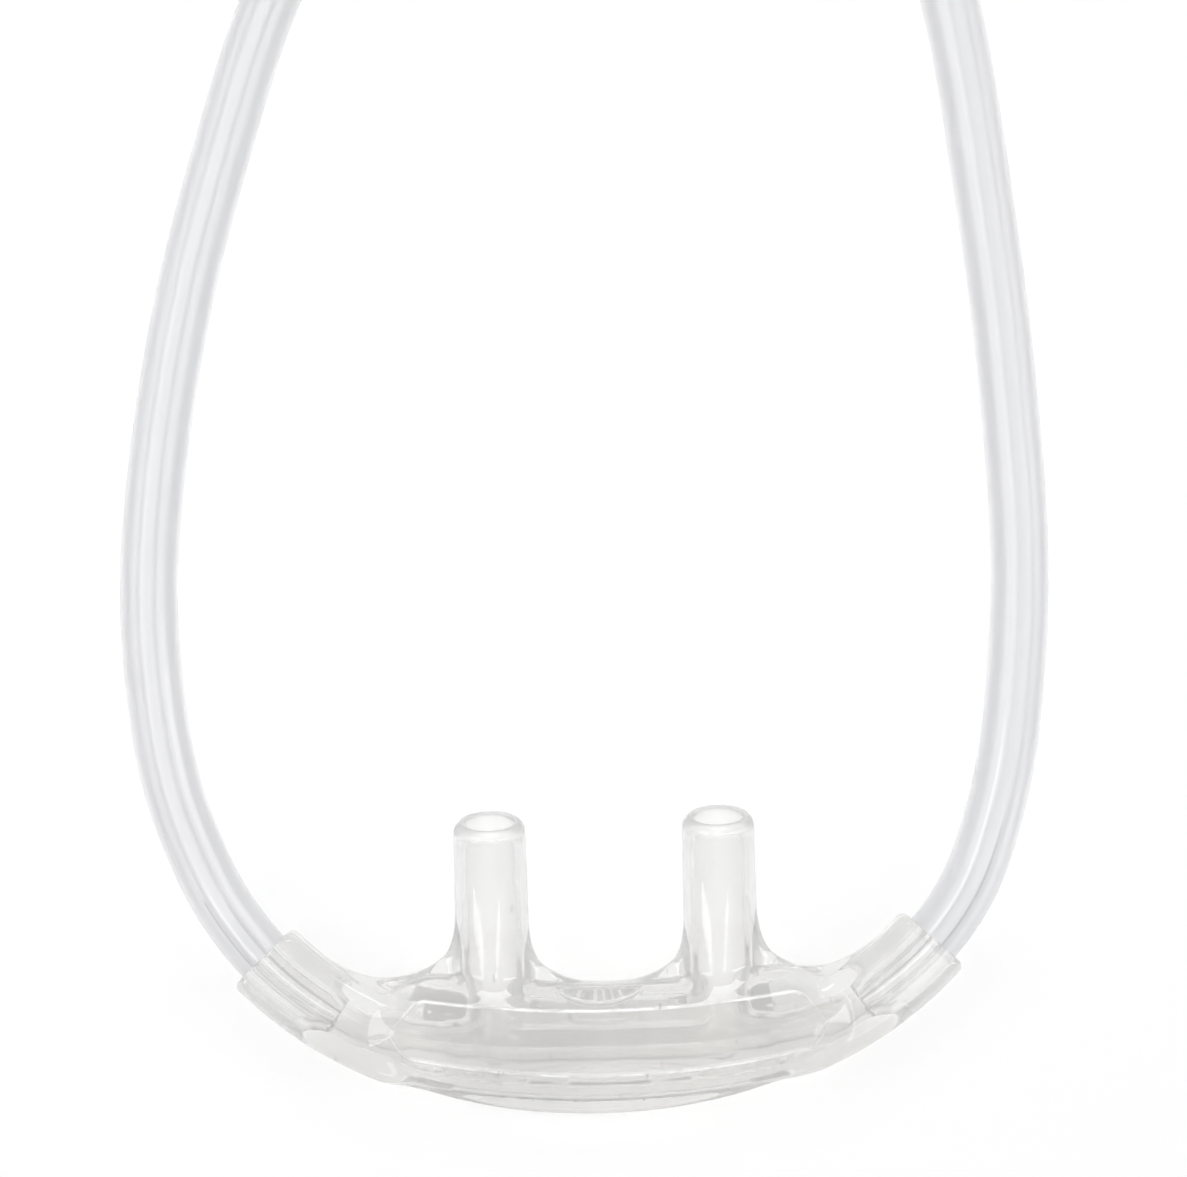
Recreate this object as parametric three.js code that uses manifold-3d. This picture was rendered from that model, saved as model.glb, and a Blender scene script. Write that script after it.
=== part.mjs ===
// Nasal oxygen cannula: a moulded facepiece with two nasal prongs, two side tubes that leave it and
// meet again in a Y connector, and a slider that runs on both tubes. It lies flat with its unseen tube
// wound into one coil. Millimetres, +Z up, +X along the facepiece, +Y the way the prongs point.
// The origin is under the middle of the facepiece, on the surface that it lies on.

import * as THREE from 'three';
import { mergeVertices } from 'three/addons/utils/BufferGeometryUtils.js';
import Module from 'manifold-3d';

const wasm = await Module();
wasm.setup();

// Side tubes
const tube_diameter = 3.75;
const tube_sides = 8;
const tube_lift = 0.03;              // a resting tube just clears the floor

// Clearances
const seat_gap = 0.3;                // end of a tube to the bottom of its socket, or to the coil
const bore_clearance = 0.3;          // round a tube in a socket
const slide_clearance = 0.3;         // round a tube in the slider
const cut_overrun = 1;               // a cut runs this far past the face that it opens

// Facepiece
const mid_height = 2.8;              // height of the parting plane: tubes, sleeves, prong roots
const block_height = 6.0;
const block_bevel = 1.6;
const chamber_x = 0.55;              // block and prongs sit this much towards +X
const facet_half_width = 14.2;       // flat front facet: its pointed ends
const facet_end_y = -4.2;
const facet_corner_x = 12.3;         // its upper corners
const facet_corner_y = -2.1;
const facet_top_y = -4.1;            // control point of its sagging upper edge
const facet_low_x = 13.2;            // its lower corners
const facet_low_y = -5.8;
const facet_bottom_y = -8.8;         // control point of its bulging lower edge

const flange_thickness = 1.9;
const flange_edge = 0.45;            // chamfer round the flange
const flange_bottom_y = -9.85;
const flange_end_x = 17.9;
const flange_end_y = -4.9;
const flange_bulge_x = 10.0;         // control point of the long lower edge
const shoulder_x = 17.6;             // upper edge: from the sleeve down to the saddle beside the prong
const shoulder_y = 0.1;
const saddle_x = 14.0;
const saddle_y = -0.75;
const fillet_outer_y = 2.9;          // fillets end here on the prongs
const fillet_inner_y = 2.1;
const fillet_tuck = 0.8;             // and run this far into them
const fillet_lead = 0.5;
const septum_y = -1.4;               // bottom of the dip between the prongs
const scallop_radius = 4.35;         // shallow round cut in the front of that dip
const scallop_depth = 1.5;
const scallop_low_y = -2.8;

const sleeve_wall = 0.71;            // about the tube itself
const sleeve_mouth_x = 21.6;
const sleeve_mouth_y = 0.85;
const sleeve_mouth_angle = 47;       // degrees from +X
const sleeve_bend_radius = 24;
const sleeve_root_angle = 14;
const socket_depth = 6.5;

const prong_spacing = 14.7;
const prong_diameter = 4.85;
const prong_bore = 3.15;
const prong_tip_y = 9.3;
const prong_rise = 1.65;             // height of the tip above the root
const prong_tip_round = 0.85;
const prong_root_y = -2.9;
const prong_straight = 0.6;          // share of its length that points along the table
const prong_cap_tuck = 0.4;          // the rounded tip reaches this far into the prong

const chamber_radius = 1.6;          // gas way along the block
const chamber_y = -4.9;
const way_rise = 0.4;                // the way to a socket starts this far above the chamber's axis
const lumen_radius = 1.15;           // bore of a tube, and of the way to it
const way_tuck = 0.4;                // it starts this far inside the socket

// Unseen length: the tubes lie side by side, wind up, and run to the Y connector
const pair_pitch = 3.9;              // between the two tubes in the coil
const coil_radius = 21;              // middle of the turns
const coil_x = -14;
const coil_y = 140;
const coil_layers = 2;
const coil_corner = 1.2;
const coil_sides = 36;

const lead_x = coil_x + coil_radius; // the pair reaches the coil along +Y here
const tail_x = coil_x - coil_radius; // and leaves it along -Y here
const tail_pitch = 4.8;
const stem_diameter = 7.8;
const tail_height = stem_diameter / 2;

// Y connector
const connector_mouth_y = 86;
const connector_length = 21;
const connector_socket_depth = 7.5;
const inlet_wall = 0.75;
const inlet_length = 10;
const web_thickness = 5.0;
const web_edge = 0.8;
const web_inset = 0.2;               // its sides lie this far inside the inlets and the stem
const web_start = 2.5;               // where it begins and narrows, from the mouths
const web_waist = 6.5;
const web_overlap = 2;
const stem_length = 10.5;
const stem_bore = 6.2;               // socket for the supply tube
const stem_socket_depth = 8;
const gas_way_pinch = 0.33;          // the two ways meet the stem this share of their pitch apart

// Slider
const slider_length = 9;
const slider_wall = 1.05;
const slider_rest_gap = 1.2;         // from the Y connector
const slider_edge = 0.6;

const round_sides = 16;              // sides of a turned or swept part
const socket_sides = 16;
const way_sides = 10;                // sides of the inner gas ways

const tube_radius = tube_diameter / 2;
const radians = THREE.MathUtils.degToRad;

// Materials: clear soft vinyl, a little milkier in the tubes
function vinyl(color, roughness) {
  return new THREE.MeshStandardMaterial({ color, roughness, metalness: 0, transparent: true, opacity: 0.5 });
}
const facepiece_vinyl = vinyl('#e4e4e1', 0.18);
const tube_vinyl = vinyl('#e6e7ea', 0.3);
const fitting_vinyl = vinyl('#dde3ea', 0.22);

// Shape helpers
function polygonSection(radius, sides) {
  const points = [];
  for (let i = 0; i < sides; i += 1) {
    const angle = (2 * Math.PI * i) / sides;
    points.push(new THREE.Vector2(radius * Math.cos(angle), radius * Math.sin(angle)));
  }
  return new THREE.Shape(points);
}

// A bore's polygon is drawn round its circle, so that the flats keep the clearance
function boreRadius(radius, sides) {
  return radius / Math.cos(Math.PI / sides);
}

function sweep(path, radius, sides, steps) {
  return new THREE.ExtrudeGeometry(polygonSection(radius, sides), {
    steps, bevelEnabled: false, extrudePath: path,
  });
}

function rod(from, to, radius, sides) {
  return sweep(new THREE.LineCurve3(from, to), radius, sides, 1);
}

// A plate with chamfered edges: shape is its outline at both faces, or its outermost outline
function chamferedPlate(shape, low, high, edge, outermost = true) {
  const plate = new THREE.ExtrudeGeometry(shape, {
    depth: high - low - 2 * edge,
    bevelThickness: edge,
    bevelSize: edge,
    bevelOffset: outermost ? -edge : 0,
    bevelSegments: 1,
    curveSegments: 8,
  });
  return plate.translate(0, 0, low + edge);
}

function toSolid(geometry) {
  const bare = geometry.clone();
  bare.deleteAttribute('normal');
  bare.deleteAttribute('uv');
  const merged = mergeVertices(bare, 1e-4);
  return new wasm.Manifold(new wasm.Mesh({
    numProp: 3,
    vertProperties: new Float32Array(merged.attributes.position.array),
    triVerts: new Uint32Array(merged.index.array),
  }));
}

function joined(geometries) {
  return geometries.map(toSolid).reduce((whole, piece) => whole.add(piece));
}

function toGeometry(solid) {
  const mesh = solid.getMesh();
  const geometry = new THREE.BufferGeometry();
  geometry.setAttribute('position', new THREE.BufferAttribute(new Float32Array(mesh.vertProperties), 3));
  geometry.setIndex(new THREE.BufferAttribute(new Uint32Array(mesh.triVerts), 1));
  geometry.computeVertexNormals();
  return geometry;
}

function namedMesh(name, geometry, material) {
  const mesh = new THREE.Mesh(geometry, material);
  mesh.name = name;
  return mesh;
}

// The axis of a sleeve is an arc in the parting plane; side is -1 (left) or 1 (right)
function sleevePoint(side, angle) {
  const mouth = radians(sleeve_mouth_angle);
  const centre_x = sleeve_mouth_x - sleeve_bend_radius * Math.sin(mouth);
  const centre_y = sleeve_mouth_y + sleeve_bend_radius * Math.cos(mouth);
  const x = centre_x + sleeve_bend_radius * Math.sin(radians(angle));
  const y = centre_y - sleeve_bend_radius * Math.cos(radians(angle));
  return new THREE.Vector3(side * x, y, mid_height);
}

function sleeveAngle(depth) {
  return sleeve_mouth_angle - THREE.MathUtils.radToDeg(depth / sleeve_bend_radius);
}

function sleevePath(side, from_angle, to_angle, count) {
  const points = [];
  for (let i = 0; i <= count; i += 1) {
    points.push(sleevePoint(side, from_angle + ((to_angle - from_angle) * i) / count));
  }
  return new THREE.CatmullRomCurve3(points);
}

// Facepiece
function facetOutline() {
  const shape = new THREE.Shape();
  shape.moveTo(chamber_x + facet_corner_x, facet_corner_y);
  shape.quadraticCurveTo(chamber_x, facet_top_y, chamber_x - facet_corner_x, facet_corner_y);
  shape.lineTo(chamber_x - facet_half_width, facet_end_y);
  shape.lineTo(chamber_x - facet_low_x, facet_low_y);
  shape.quadraticCurveTo(chamber_x, facet_bottom_y, chamber_x + facet_low_x, facet_low_y);
  shape.lineTo(chamber_x + facet_half_width, facet_end_y);
  return shape;
}

// Drawn at the flange's faces, one chamfer inside its outermost edge
function flangeOutline() {
  const inner = prong_spacing / 2 - prong_diameter / 2;
  const outer = prong_spacing / 2 + prong_diameter / 2;
  const shoulder_mid_x = (shoulder_x + saddle_x) / 2;
  const low = flange_bottom_y + flange_edge;
  const saddle = saddle_y - flange_edge;
  const dip = septum_y - flange_edge;
  const shape = new THREE.Shape();
  shape.moveTo(-flange_end_x, flange_end_y);
  shape.quadraticCurveTo(-flange_bulge_x, low, 0, low);
  shape.quadraticCurveTo(flange_bulge_x, low, flange_end_x, flange_end_y);
  shape.lineTo(shoulder_x, shoulder_y);
  shape.quadraticCurveTo(shoulder_mid_x, saddle, saddle_x, saddle);
  shape.quadraticCurveTo(
    chamber_x + outer + fillet_lead - flange_edge, saddle, chamber_x + outer - fillet_tuck, fillet_outer_y,
  );
  shape.lineTo(chamber_x + inner + fillet_tuck, fillet_inner_y);
  shape.quadraticCurveTo(chamber_x + inner - fillet_lead + flange_edge, dip, chamber_x, dip);
  shape.quadraticCurveTo(
    chamber_x - inner + fillet_lead - flange_edge, dip, chamber_x - inner - fillet_tuck, fillet_inner_y,
  );
  shape.lineTo(chamber_x - outer + fillet_tuck, fillet_outer_y);
  shape.quadraticCurveTo(
    chamber_x - outer - fillet_lead + flange_edge, saddle, -saddle_x, saddle,
  );
  shape.quadraticCurveTo(-shoulder_mid_x, saddle, -shoulder_x, shoulder_y);
  return shape;
}

function prongX(side) {
  return chamber_x + (side * prong_spacing) / 2;
}

function prongPath(side, beyond) {
  const x = prongX(side);
  const length = prong_tip_y - prong_root_y;
  const curve = new THREE.QuadraticBezierCurve3(
    new THREE.Vector3(x, prong_root_y, mid_height),
    new THREE.Vector3(x, prong_root_y + prong_straight * length, mid_height),
    new THREE.Vector3(x, prong_tip_y, mid_height + prong_rise),
  );
  const points = curve.getPoints(6);
  const tangent = curve.getTangent(1);
  points[points.length - 1].addScaledVector(tangent, beyond);
  return { path: new THREE.CatmullRomCurve3(points), tip: curve.getPoint(1), tangent };
}

function prong(side) {
  const { path, tip, tangent } = prongPath(side, -prong_tip_round);
  const radius = prong_diameter / 2;
  const cap_low = -prong_tip_round - prong_cap_tuck;
  const profile = [new THREE.Vector2(0, cap_low), new THREE.Vector2(radius, cap_low)];
  const round_steps = 3;
  for (let i = 0; i <= round_steps; i += 1) {
    const angle = (Math.PI / 2) * (i / round_steps);
    profile.push(new THREE.Vector2(
      radius - prong_tip_round * (1 - Math.cos(angle)),
      -prong_tip_round * (1 - Math.sin(angle)),
    ));
  }
  profile.push(new THREE.Vector2(0, 0));
  const cap = new THREE.LatheGeometry(profile, round_sides);
  cap.applyQuaternion(new THREE.Quaternion().setFromUnitVectors(new THREE.Vector3(0, 1, 0), tangent));
  cap.translate(tip.x, tip.y, tip.z);
  return [sweep(path, radius, round_sides, 5), cap];
}

function facepiece() {
  const flange_low = mid_height - flange_thickness / 2;
  const bodies = [
    chamferedPlate(facetOutline(), 0, block_height, block_bevel, false),
    chamferedPlate(flangeOutline(), flange_low, flange_low + flange_thickness, flange_edge, false),
  ];
  const cuts = [];
  const socket_bottom = sleeveAngle(socket_depth);
  for (const side of [-1, 1]) {
    bodies.push(sweep(
      sleevePath(side, sleeve_root_angle, sleeve_mouth_angle, 6),
      tube_radius + sleeve_wall, round_sides, 6,
    ));
    bodies.push(...prong(side));
    cuts.push(sweep(
      sleevePath(side, socket_bottom, sleeveAngle(-cut_overrun), 4),
      boreRadius(tube_radius + bore_clearance, socket_sides), socket_sides, 4,
    ));
    const below_prong = new THREE.Vector3(prongX(side), chamber_y, mid_height);
    const way = new THREE.CatmullRomCurve3([
      sleevePoint(side, sleeveAngle(socket_depth - way_tuck)),
      new THREE.Vector3(chamber_x + side * facet_corner_x, chamber_y + way_rise, mid_height),
      below_prong,
    ]);
    cuts.push(sweep(way, lumen_radius, way_sides, 4));
    cuts.push(sweep(prongPath(side, cut_overrun).path, prong_bore / 2, socket_sides, 5));
    const prong_way_top = new THREE.Vector3(prongX(side), prong_root_y + lumen_radius / 2, mid_height);
    cuts.push(rod(below_prong, prong_way_top, prong_bore / 2, socket_sides));
  }
  const chamber_half = prong_spacing / 2 + prong_bore;
  cuts.push(rod(
    new THREE.Vector3(chamber_x - chamber_half, chamber_y, mid_height),
    new THREE.Vector3(chamber_x + chamber_half, chamber_y, mid_height),
    chamber_radius, way_sides,
  ));
  const scallop_y = scallop_low_y + scallop_radius;
  cuts.push(rod(
    new THREE.Vector3(chamber_x, scallop_y, block_height - scallop_depth),
    new THREE.Vector3(chamber_x, scallop_y, block_height + cut_overrun),
    scallop_radius, 2 * round_sides,
  ));
  return toGeometry(joined(bodies).subtract(joined(cuts)));
}

// Side tubes: the way inside the sleeve, then points along the table
const left_route = [
  [-23.0, 2.6, 2.75], [-24.3, 4.6, 2.6], [-25.8, 7.8, 2.3], [-27.0, 11.2, 2.05], [-28.1, 17.6, 1.905],
  [-28.4, 24.0, 1.905], [-27.9, 30.5, 1.905], [-26.6, 38.7, 1.905], [-24.8, 46.5, 1.905],
  [-22.5, 54.1, 1.905], [-19.5, 62.5, 1.905], [-15.6, 68.9, 1.905], [-10.2, 73.7, 1.905],
  [-4.4, 77.7, 1.905], [0.4, 82.5, 1.905], [3.5, 88.5, 1.905], [4.8, 95.0, 1.905],
  [5.05, 104.0, 1.905], [5.05, 114.0, 1.905],
];
const right_route = [
  [22.9, 2.45, 2.75], [24.1, 4.4, 2.6], [25.5, 7.9, 2.3], [26.5, 11.5, 2.05], [27.4, 17.3, 1.905],
  [27.9, 24.6, 1.905], [27.7, 32.1, 1.905], [27.0, 41.8, 1.905], [25.9, 51.5, 1.905],
  [24.4, 61.3, 1.905], [21.8, 69.5, 1.905], [18.2, 76.3, 1.905], [14.4, 82.3, 1.905],
  [11.5, 88.6, 1.905], [9.7, 95.0, 1.905], [9.0, 101.5, 1.905], [8.95, 108.0, 1.905],
  [8.95, 117.0, 1.905],
];
const left_tail_route = [
  [-37.0, 121.5, 5.6], [-37.2, 116.0, 4.8], [-37.4, 110.5, 3.92], [-37.4, 108.0, 3.9],
];
const right_tail_route = [
  [-32.8, 116.0, 4.8], [-32.6, 110.5, 3.92], [-32.6, 108.0, 3.9],
];

// Where a straight tube along Y would touch the coil's outer wall, on the coil's near side
function coilWallY(x, half_width) {
  const outer = coil_radius + pair_pitch / 2 + tube_radius;
  const inward = Math.abs(x - coil_x) - half_width;
  return coil_y - Math.sqrt(outer * outer - inward * inward);
}

function tubeLead(side, route) {
  const start = sleeveAngle(socket_depth - seat_gap);
  const points = [
    sleevePoint(side, start),
    sleevePoint(side, (start + sleeve_mouth_angle) / 2),
    sleevePoint(side, sleeve_mouth_angle),
  ];
  route.forEach(([x, y, z]) => points.push(new THREE.Vector3(x, y, z)));
  const x = lead_x + (side * pair_pitch) / 2;
  const end_y = coilWallY(x, tube_radius) - seat_gap;
  points.push(new THREE.Vector3(x, end_y, tube_radius + tube_lift));
  return sweep(new THREE.CatmullRomCurve3(points, false, 'centripetal'), tube_radius, tube_sides, 22);
}

function tubeTail(side, route) {
  const coil_side_x = tail_x + (side * pair_pitch) / 2;
  const x = tail_x + (side * tail_pitch) / 2;
  const height = (2 * coil_layers - 1) * tube_radius + tube_lift;
  const socket_y = connector_mouth_y - connector_socket_depth + seat_gap;
  const points = [
    new THREE.Vector3(coil_side_x, coilWallY(coil_side_x, tube_radius) - seat_gap, height),
  ];
  route.forEach(([px, py, pz]) => points.push(new THREE.Vector3(px, py, pz)));
  points.push(new THREE.Vector3(x, connector_mouth_y, tail_height));
  points.push(new THREE.Vector3(x, socket_y, tail_height));
  return sweep(new THREE.CatmullRomCurve3(points, false, 'centripetal'), tube_radius, tube_sides, 8);
}

// The coil's outer shape: one ring with rounded corners, standing on the floor
function tubeCoil() {
  const inner = coil_radius - pair_pitch / 2 - tube_radius;
  const outer = coil_radius + pair_pitch / 2 + tube_radius;
  const top = 2 * coil_layers * tube_radius + tube_lift;
  const profile = [
    [inner, coil_corner], [inner + coil_corner, 0], [outer - coil_corner, 0], [outer, coil_corner],
    [outer, top - coil_corner], [outer - coil_corner, top], [inner + coil_corner, top],
    [inner, top - coil_corner], [inner, coil_corner],
  ].map(([x, y]) => new THREE.Vector2(x, y));
  const ring = new THREE.LatheGeometry(profile, coil_sides);
  return ring.rotateX(Math.PI / 2).translate(coil_x, coil_y, 0);
}

// Y connector, in its own frame: mouths at y = 0, stem towards -y, axis at z = 0
function connector() {
  const inlet_radius = tube_radius + bore_clearance + inlet_wall;
  const stem_radius = stem_diameter / 2;
  const stem_top = -(connector_length - stem_length);
  const half_pitch = tail_pitch / 2;
  const bodies = [];
  const cuts = [];
  const web = new THREE.Shape();
  web.moveTo(-half_pitch - inlet_radius + web_inset, -web_start);
  web.lineTo(half_pitch + inlet_radius - web_inset, -web_start);
  web.lineTo(half_pitch + inlet_radius - web_inset, -web_waist);
  web.lineTo(stem_radius - web_inset, stem_top - web_overlap);
  web.lineTo(-stem_radius + web_inset, stem_top - web_overlap);
  web.lineTo(-half_pitch - inlet_radius + web_inset, -web_waist);
  bodies.push(chamferedPlate(web, -web_thickness / 2, web_thickness / 2, web_edge));
  const socket_bottom = -connector_socket_depth;
  const stem_bottom = -connector_length + stem_socket_depth;
  for (const side of [-1, 1]) {
    const x = side * half_pitch;
    bodies.push(rod(
      new THREE.Vector3(x, 0, 0), new THREE.Vector3(x, -inlet_length, 0), inlet_radius, round_sides,
    ));
    cuts.push(rod(
      new THREE.Vector3(x, cut_overrun, 0), new THREE.Vector3(x, socket_bottom, 0),
      boreRadius(tube_radius + bore_clearance, socket_sides), socket_sides,
    ));
    cuts.push(rod(
      new THREE.Vector3(x, socket_bottom + cut_overrun, 0),
      new THREE.Vector3(x * gas_way_pinch, stem_bottom - cut_overrun, 0), lumen_radius, socket_sides,
    ));
  }
  bodies.push(rod(
    new THREE.Vector3(0, stem_top + web_overlap, 0), new THREE.Vector3(0, -connector_length, 0),
    stem_radius, round_sides,
  ));
  cuts.push(rod(
    new THREE.Vector3(0, stem_bottom, 0), new THREE.Vector3(0, -connector_length - cut_overrun, 0),
    stem_bore / 2, round_sides,
  ));
  return toGeometry(joined(bodies).subtract(joined(cuts)));
}

// Slider, in its own frame: near end at y = 0, far end towards +y, axis at z = 0
function slider() {
  const half_height = tail_height;
  const half_width = tail_pitch / 2 + tube_radius + slide_clearance + slider_wall;
  const straight = half_width - half_height;
  const section = new THREE.Shape();
  section.absarc(straight, 0, half_height, -Math.PI / 2, Math.PI / 2, false);
  section.absarc(-straight, 0, half_height, Math.PI / 2, (3 * Math.PI) / 2, false);
  const block = chamferedPlate(section, 0, slider_length, slider_edge);
  block.rotateX(-Math.PI / 2);
  const cuts = [-1, 1].map((side) => rod(
    new THREE.Vector3((side * tail_pitch) / 2, -cut_overrun, 0),
    new THREE.Vector3((side * tail_pitch) / 2, slider_length + cut_overrun, 0),
    boreRadius(tube_radius + slide_clearance, socket_sides), socket_sides,
  ));
  return toGeometry(toSolid(block).subtract(joined(cuts)));
}

const cannula = new THREE.Group();
cannula.add(namedMesh('facepiece', facepiece(), facepiece_vinyl));
cannula.add(namedMesh('left_tube', tubeLead(-1, left_route), tube_vinyl.clone()));
cannula.add(namedMesh('right_tube', tubeLead(1, right_route), tube_vinyl.clone()));
cannula.add(namedMesh('tube_coil', tubeCoil(), tube_vinyl.clone()));
cannula.add(namedMesh('left_tube_tail', tubeTail(-1, left_tail_route), tube_vinyl.clone()));
cannula.add(namedMesh('right_tube_tail', tubeTail(1, right_tail_route), tube_vinyl.clone()));

const fittings = new THREE.Group();
fittings.position.set(tail_x, connector_mouth_y, tail_height);
fittings.add(namedMesh('y_connector', connector(), fitting_vinyl));
const slider_mesh = namedMesh('slider', slider(), fitting_vinyl.clone());
slider_mesh.position.y = slider_rest_gap;
fittings.add(slider_mesh);
cannula.add(fittings);

export default cannula;
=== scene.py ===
import math

import bpy
import numpy as np
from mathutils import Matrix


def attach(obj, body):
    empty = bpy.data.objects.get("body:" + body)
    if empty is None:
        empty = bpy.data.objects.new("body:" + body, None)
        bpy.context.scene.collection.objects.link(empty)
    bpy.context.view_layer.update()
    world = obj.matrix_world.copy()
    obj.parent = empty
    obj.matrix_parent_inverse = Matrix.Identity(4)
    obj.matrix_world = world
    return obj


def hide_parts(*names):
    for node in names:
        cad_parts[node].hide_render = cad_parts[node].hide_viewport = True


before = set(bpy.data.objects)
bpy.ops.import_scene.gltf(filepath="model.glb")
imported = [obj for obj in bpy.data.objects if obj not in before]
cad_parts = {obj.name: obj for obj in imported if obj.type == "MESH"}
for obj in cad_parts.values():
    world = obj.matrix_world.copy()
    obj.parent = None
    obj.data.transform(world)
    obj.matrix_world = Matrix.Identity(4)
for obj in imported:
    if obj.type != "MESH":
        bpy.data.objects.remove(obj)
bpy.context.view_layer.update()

# Shapes are worked out in millimetres, in the frame of the CAD model, and stored in metres
MM = 0.001

# Camera: straight above the object, turned a little about the vertical
VIEW_X = 0.33
VIEW_Y = 23.96
VIEW_HEIGHT = 450.0
VIEW_WIDTH = 76.58          # what the frame's width covers at FOCUS_HEIGHT
VIEW_TURN = -1.6
FOCUS_HEIGHT = 2.5
SENSOR_WIDTH = 36.0

# Side tubes
TUBE_DIAMETER = 3.75
TUBE_LIFT = 0.03            # a resting tube just clears the floor
TUBE_BORE = 2.3
TUBE_STEP = 0.3             # between the rings of a tube's mesh, near the facepiece
TUBE_LONG_STEP = 1.8        # and in its unseen length
TUBE_SEEN = 112.0
END_RADIUS = 1.27           # its ends are drawn down a little
END_LENGTH = 1.6
TUBE_SIDES = 56
RIB_COUNT = 5               # low ribs along the bore, which keep a kinked tube open
RIB_HEIGHT = 0.26
RIB_WIDTH = 17.0            # degrees
TUBE_RADIUS = TUBE_DIAMETER / 2

# Facepiece
MID_HEIGHT = 2.8            # parting plane: sleeves, prong roots
BLOCK_HEIGHT = 6.0
BLOCK_BEVEL = 1.6
CHAMBER_X = 0.55
FACET_HALF_WIDTH = 14.2
FACET_END_Y = -4.2
FACET_CORNER = (12.3, -2.1)
FACET_LOW_CORNER = (13.2, -5.8)
FACET_SAG = 1.0             # of the facet's upper edge, at its middle
FACET_BULGE = 1.5           # of its lower edge
FACET_CORNER_ROUND = 0.4
BLOCK_ROUND = 0.3           # along the bevels
BLOCK_TOP_ROUND = 0.45
FLANGE_THICKNESS = 1.9
FLANGE_ROUND = 0.45
FLANGE_BOTTOM_Y = -9.85
FLANGE_END = (17.9, -4.9)
FLANGE_BULGE_X = 10.0
SHOULDER = (17.6, 0.1)
SADDLE = (14.0, -0.75)
FILLET_OUTER_Y = 2.9
FILLET_INNER_Y = 2.1
FILLET_TUCK = 0.8
FILLET_LEAD = 0.5
SEPTUM_Y = -1.4
LIP_INSET = 0.85            # groove along the flange's lip
LIP_GROOVE = 0.12
LIP_EDGE = 0.1
LIP_LOW = 1.0               # the groove stays this far below the facet's lower corner
SCALLOP_X = 0.0
SCALLOP_RADIUS = 4.35
SCALLOP_DEPTH = 1.5
SCALLOP_LOW_Y = -2.8
SCALLOP_ROUND = 0.3
SCALLOP_EDGE = 0.15
SCALLOP_RAYS = 22
RAY_DEPTH = 0.06
FLANGE_FILLET = 0.25        # where the flange meets the block
ROOT_FILLET = 0.9           # where sleeves and prongs meet the block

SLEEVE_RADIUS = 2.585
SLEEVE_HALF_HEIGHT = 2.45    # flat above and below, with rounded edges
SLEEVE_CORNER = 0.9
SLEEVE_MOUTH = (21.6, 0.85)
SLEEVE_MOUTH_ANGLE = 47.0
SLEEVE_BEND_RADIUS = 24.0
SLEEVE_ROOT_ANGLE = 14.0
SLEEVE_ROUND = 0.5
SLEEVE_FADE_ANGLE = 24.0     # from here to the root the sleeve sinks into the block
SLEEVE_SINK = 1.2
SOCKET_DEPTH = 6.5
SOCKET_BITE = 0.015         # the tube is bonded: its skin lies this far in the wall
SOCKET_EDGE = 0.05
SOCKET_END_ROUND = 0.02
SEAT_GAP = 0.3

PRONG_SPACING = 14.7
PRONG_DIAMETER = 4.85
PRONG_TAPER = 0.12          # its radius at the tip is this much smaller
PRONG_BORE = 3.15
PRONG_ROOT_Y = -2.9
PRONG_TIP_Y = 9.3
PRONG_RISE = 1.65
PRONG_STRAIGHT = 0.6        # share of its length before it turns up
PRONG_ROUND = 0.85
RIM_ROUND = 0.35

CHAMBER_Y = -4.9
CHAMBER_HALF = (10.5, 1.9, 1.5)
CHAMBER_ROUND = 0.5
LUMEN_RADIUS = 1.15         # of the ways from the tubes
LUMEN_FILLET = 0.8
BORE_FILLET = 0.9
BORE_BEYOND = 3.0           # how far a prong's bore is cut past its tip

# Unseen length: turns of the pair, then the tail into the Y connector
PAIR_PITCH = 3.9
COIL_RADIUS = 21.0
COIL_CENTRE = (-14.0, 140.0)
COIL_DEGREES = 540.0
COIL_POINTS = 28            # for each turn
SWAP = (208.0, 308.0)       # where the left tube crosses over the right one
CLIMB = (250.0, 313.0)      # where the pair climbs to its second layer
TAIL_X = -35.0
TAIL_PITCH = 4.8
TAIL_HEIGHT = 3.9
CONNECTOR_MOUTH_Y = 86.0
CONNECTOR_SOCKET_DEPTH = 7.5

# Y connector and slider
CONNECTOR_LENGTH = 21.0
INLET_RADIUS = 2.925
INLET_LENGTH = 10.0
WEB_HALF_THICKNESS = 2.5
STEM_RADIUS = 3.9
STEM_LENGTH = 10.5
STEM_BORE = 6.2
STEM_SOCKET_DEPTH = 8.0
STEM_ROUND = 0.35
STEM_RING = (1.2, 0.5)      # a groove round the stem: from its end, half width
STEM_RING_DEPTH = 0.1
INLET_CLOSING = 0.55        # the inlets draw together by this share
INLET_STRAIGHT = 5.0        # from this depth on
INLET_ROUND = 0.3
WAIST = 0.2                 # the web is narrower than the inlets by this
WAIST_TAPER = 1.7
WEB_ROUND = 0.9
WEB_END_ROUND = 0.6
WEB_START = 1.6
WEB_OVERLAP = 3.0           # how far the web runs into the stem
STEM_FILLET = 1.6
WEB_FILLET = 0.5
WAY_EDGE = 0.12
SLIDER_LENGTH = 9.0
SLIDER_Y = 87.2
SLIDER_HALF_WIDTH = 5.625
SLIDER_HALF_HEIGHT = 3.9
SLIDER_ROUND = 0.6
SLIDER_EDGE = 0.25
GRIP_DEPTH = 0.14           # waves on its faces, which fade out before its ends
GRIP_PITCH = 1.5
GRIP_MARGIN = 1.2
GRIP_FADE = 0.6
SLIDE_CLEARANCE = 0.3

CELL = 0.17                 # grid of the moulded pieces
NORMAL_STEP = 0.02
FIT_STEPS = 3               # moves of the mesh's corners onto the surface
STEEPEST = 0.25             # least square of the slope that such a move reckons with
FACEPIECE_BOX = ((-23.5, -10.0, 0), (23.5, 9.9, 6.6))

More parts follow.
